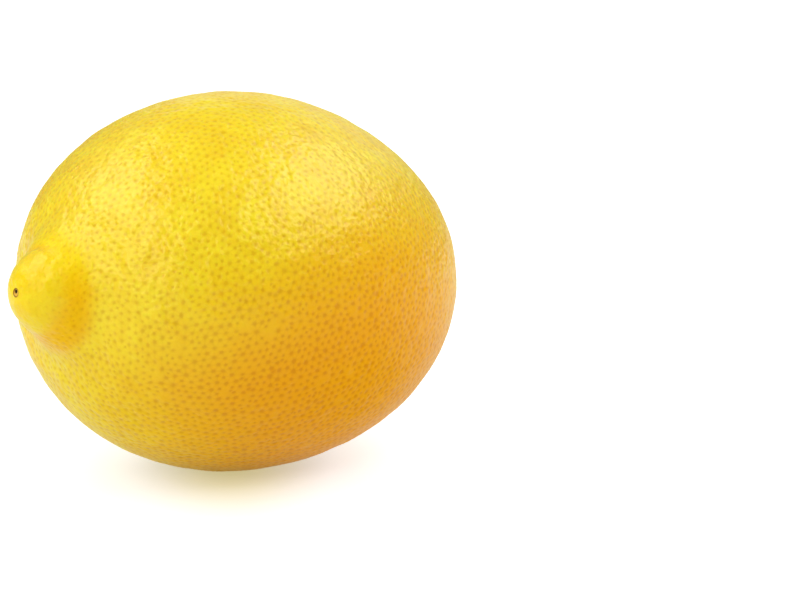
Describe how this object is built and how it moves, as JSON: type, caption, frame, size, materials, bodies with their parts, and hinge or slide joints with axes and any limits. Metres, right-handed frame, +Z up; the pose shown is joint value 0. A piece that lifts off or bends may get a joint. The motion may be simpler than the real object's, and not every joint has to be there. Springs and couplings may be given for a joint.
{
  "type": "lemon",
  "caption": "Whole lemon lying on its side on a small flat spot, with a nipple at the blossom end and a dry calyx button in the dimple at the stem end.",
  "frame": {"origin": "middle of the lemon's outline seen from above, on the surface that it lies on", "axes": "+X along the fruit from the nipple to the stem end, +Y across it, +Z up"},
  "size_m": [0.082, 0.0606, 0.059],
  "materials": {
    "peel": "waxy yellow citrus peel with fine oil glands, satin gloss",
    "dry_stalk": "dry woody stalk and sepals, matt"
  },
  "bodies": {
    "root": {"fruit": "peel", "calyx_button": "dry_stalk"}
  },
  "joints": []
}
